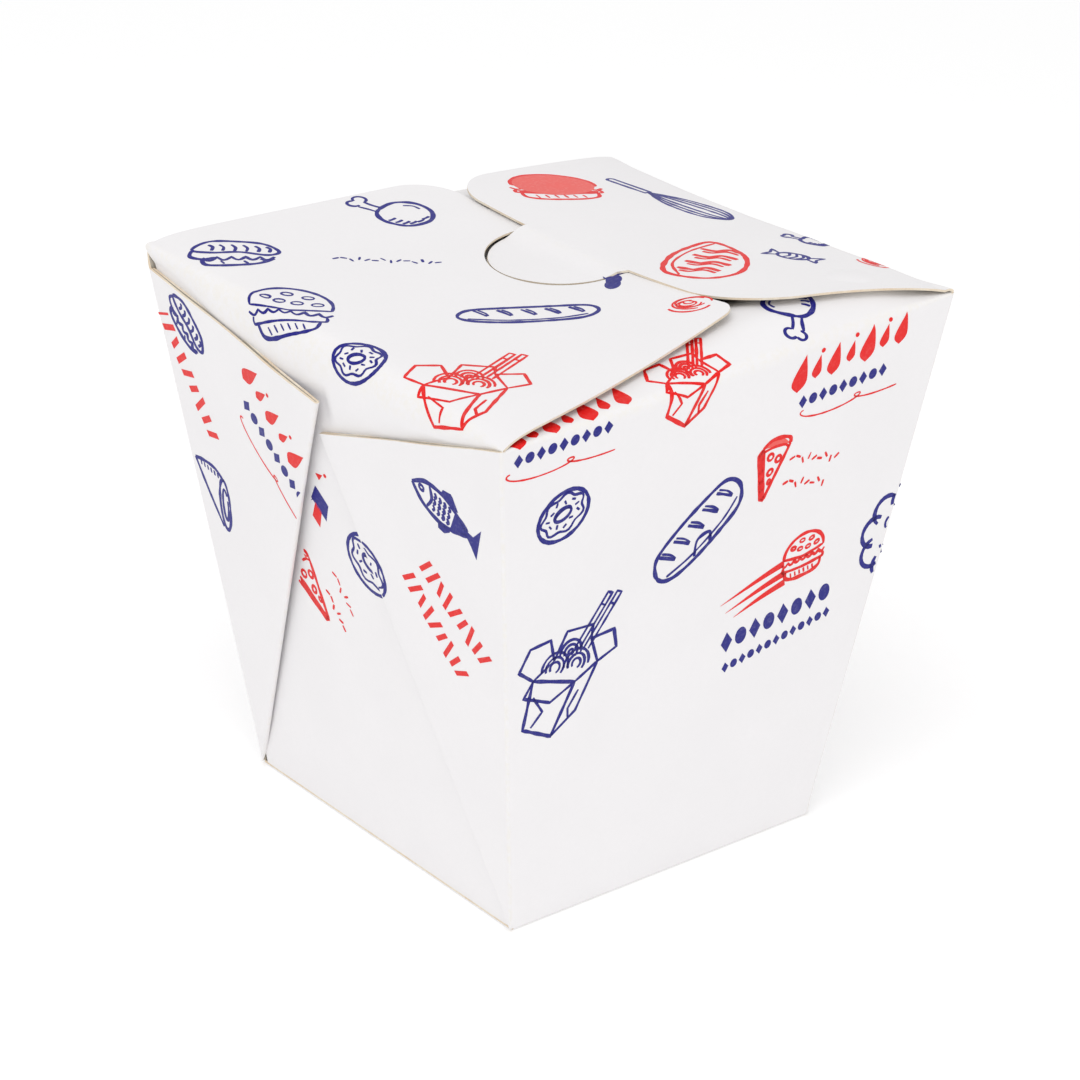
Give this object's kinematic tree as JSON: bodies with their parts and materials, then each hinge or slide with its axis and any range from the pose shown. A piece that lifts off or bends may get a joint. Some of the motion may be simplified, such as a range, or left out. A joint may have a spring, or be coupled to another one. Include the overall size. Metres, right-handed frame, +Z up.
{
  "type": "noodle takeaway box",
  "caption": "Shut folded paperboard takeaway carton with a tapered square body, folded corner leaves and a tongue-locked lid.",
  "frame": {"origin": "middle of the flat foot", "axes": "+Z up; the plain walls face -Y and +Y, and the walls with the corner leaves and the lid's creases face -X and +X"},
  "size_m": [0.1059, 0.0994, 0.1071],
  "materials": {
    "coated_board": "white clay-coated folding boxboard, printed in red and navy, semi-matt",
    "red_ink": "printed red ink on coated board, thin and slightly glossy",
    "navy_ink": "printed navy ink on coated board, thin and slightly glossy",
    "cut_edge": "cut edge of the board, cream fibre"
  },
  "bodies": {
    "root": {"carton": "coated_board"}
  },
  "joints": []
}
